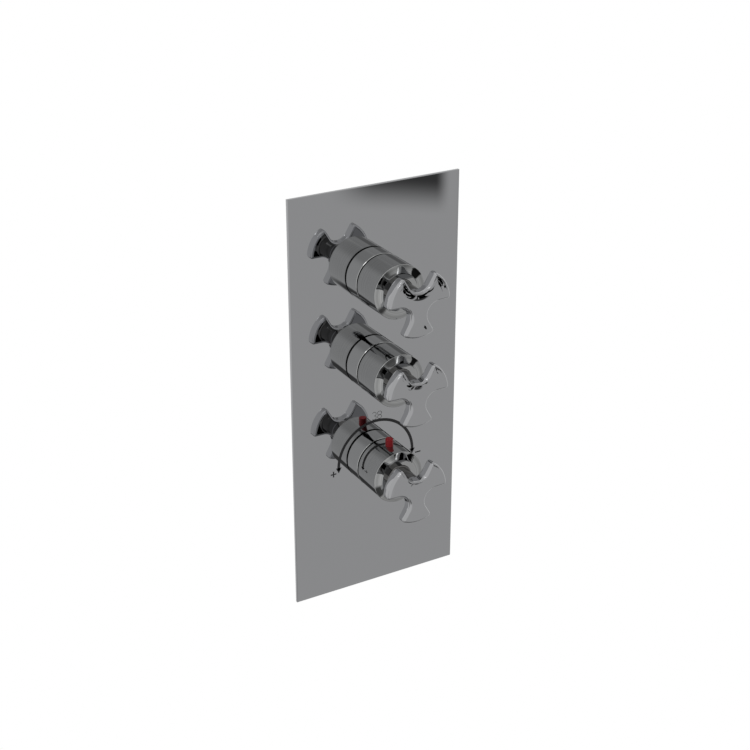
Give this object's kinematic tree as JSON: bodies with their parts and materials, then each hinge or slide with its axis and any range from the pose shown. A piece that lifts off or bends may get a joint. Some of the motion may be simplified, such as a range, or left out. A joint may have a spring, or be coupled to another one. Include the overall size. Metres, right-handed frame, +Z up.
{
  "type": "thermostatic shower valve",
  "caption": "Concealed thermostatic shower valve: tall chrome wall plate with lobed flow and temperature handles, a red safety-stop button, and a brass mixing body behind.",
  "frame": {"origin": "middle of the faceplate on the finished wall, at the back face of the foam gasket", "axes": "+X to the right seen from the front, +Y into the wall, +Z up"},
  "size_m": [0.12, 0.106, 0.28],
  "materials": {
    "polished_chrome": "mirror-bright chrome plate on brass",
    "turned_chrome": "bright chrome plate over fine turning lines",
    "cast_brass": "sand-cast brass, bead-blasted, with machined mouths",
    "machined_brass": "machined brass, satin",
    "copper": "drawn copper cup, satin",
    "screw_steel": "stainless steel, satin",
    "spring_steel": "bright stainless wire and mesh",
    "disc_ceramic": "lapped alumina ceramic, ivory white",
    "black_rubber": "matt black rubber",
    "foam_gasket": "closed-cell black foam",
    "white_plastic": "moulded acetal, off-white",
    "grey_plastic": "moulded engineering plastic, grey",
    "red_plastic": "moulded plastic, signal red"
  },
  "bodies": {
    "fixed_valve": {"faceplate": "polished_chrome", "plate_gasket": "foam_gasket", "collar_seals": "black_rubber", "top_collar": "polished_chrome", "middle_collar": "polished_chrome", "temperature_collar": "polished_chrome", "valve_body": "cast_brass", "cartridge_sleeve": "machined_brass", "cartridge_seals": "black_rubber", "cartridge_strainers": "spring_steel", "cartridge_tail": "machined_brass", "retaining_nut": "machined_brass", "return_spring": "spring_steel", "stop_ring": "white_plastic", "inlet_filters": "spring_steel", "top_bush": "machined_brass", "top_bush_seal": "black_rubber", "top_fixed_disc": "disc_ceramic", "top_seat_seal": "black_rubber", "middle_bush": "machined_brass", "middle_bush_seal": "black_rubber", "middle_fixed_disc": "disc_ceramic", "middle_seat_seal": "black_rubber", "hot_inlet_union": "machined_brass", "hot_check_body": "white_plastic", "hot_check_spring": "spring_steel", "cold_inlet_union": "machined_brass", "cold_check_body": "white_plastic", "cold_check_spring": "spring_steel"},
    "top_control": {"top_head": "polished_chrome", "top_barrel": "turned_chrome", "top_adaptor": "machined_brass", "top_grub_screw": "screw_steel", "top_spindle": "machined_brass", "top_circlip": "screw_steel", "top_moving_disc": "disc_ceramic"},
    "middle_control": {"middle_head": "polished_chrome", "middle_barrel": "turned_chrome", "middle_adaptor": "machined_brass", "middle_grub_screw": "screw_steel", "middle_spindle": "machined_brass", "middle_circlip": "screw_steel", "middle_moving_disc": "disc_ceramic"},
    "temperature_control": {"temperature_head": "polished_chrome", "temperature_barrel": "turned_chrome", "temperature_adaptor": "machined_brass", "temperature_grub_screw": "screw_steel", "regulating_screw": "machined_brass", "button_spring": "spring_steel"},
    "stop_button": {"stop_button": "red_plastic"},
    "nut_group": {"regulating_nut": "machined_brass", "overload_spring": "spring_steel", "pressure_cap": "screw_steel"},
    "shuttle_group": {"shuttle": "grey_plastic", "wax_element": "copper"},
    "hot_poppet": {"hot_check_poppet": "white_plastic"},
    "cold_poppet": {"cold_check_poppet": "white_plastic"}
  },
  "joints": [
    {"name": "top_flow_turn", "type": "hinge", "parent": "fixed_valve", "child": "top_control", "pos_m": [0, -0.03, 0.08], "axis": [0, -1, 0], "range_deg": [0, 90]},
    {"name": "middle_flow_turn", "type": "hinge", "parent": "fixed_valve", "child": "middle_control", "pos_m": [0, -0.03, 0.0203], "axis": [0, -1, 0], "range_deg": [0, 90]},
    {"name": "temperature_turn", "type": "hinge", "parent": "fixed_valve", "child": "temperature_control", "pos_m": [0, -0.03, -0.0476], "axis": [0, -1, 0], "range_deg": [-93, 93]},
    {"name": "stop_button_press", "type": "slide", "parent": "temperature_control", "child": "stop_button", "axis": [0, 0, -1], "range_m": [0, 0.0022], "stiffness_N_per_m": 600, "springref_m": -0.002, "deforming": ["button_spring"]},
    {"name": "nut_travel", "type": "slide", "parent": "fixed_valve", "child": "nut_group", "axis": [0, 1, 0], "range_m": [-0.0008, 0.0008]},
    {"name": "shuttle_travel", "type": "slide", "parent": "fixed_valve", "child": "shuttle_group", "axis": [0, 1, 0], "range_m": [-0.0008, 0.0008], "deforming": ["return_spring"]},
    {"name": "hot_poppet_lift", "type": "slide", "parent": "fixed_valve", "child": "hot_poppet", "axis": [0, 0, 1], "range_m": [0, 0.0026], "stiffness_N_per_m": 120, "springref_m": -0.004, "deforming": ["hot_check_spring"]},
    {"name": "cold_poppet_lift", "type": "slide", "parent": "fixed_valve", "child": "cold_poppet", "axis": [0, 0, 1], "range_m": [0, 0.0026], "stiffness_N_per_m": 120, "springref_m": -0.004, "deforming": ["cold_check_spring"]}
  ],
  "couplings": [
    {"joint": "nut_travel", "follows": "temperature_turn", "m_per_rad": 0.00047746},
    {"joint": "shuttle_travel", "follows": "temperature_turn", "m_per_rad": 0.00047746}
  ]
}
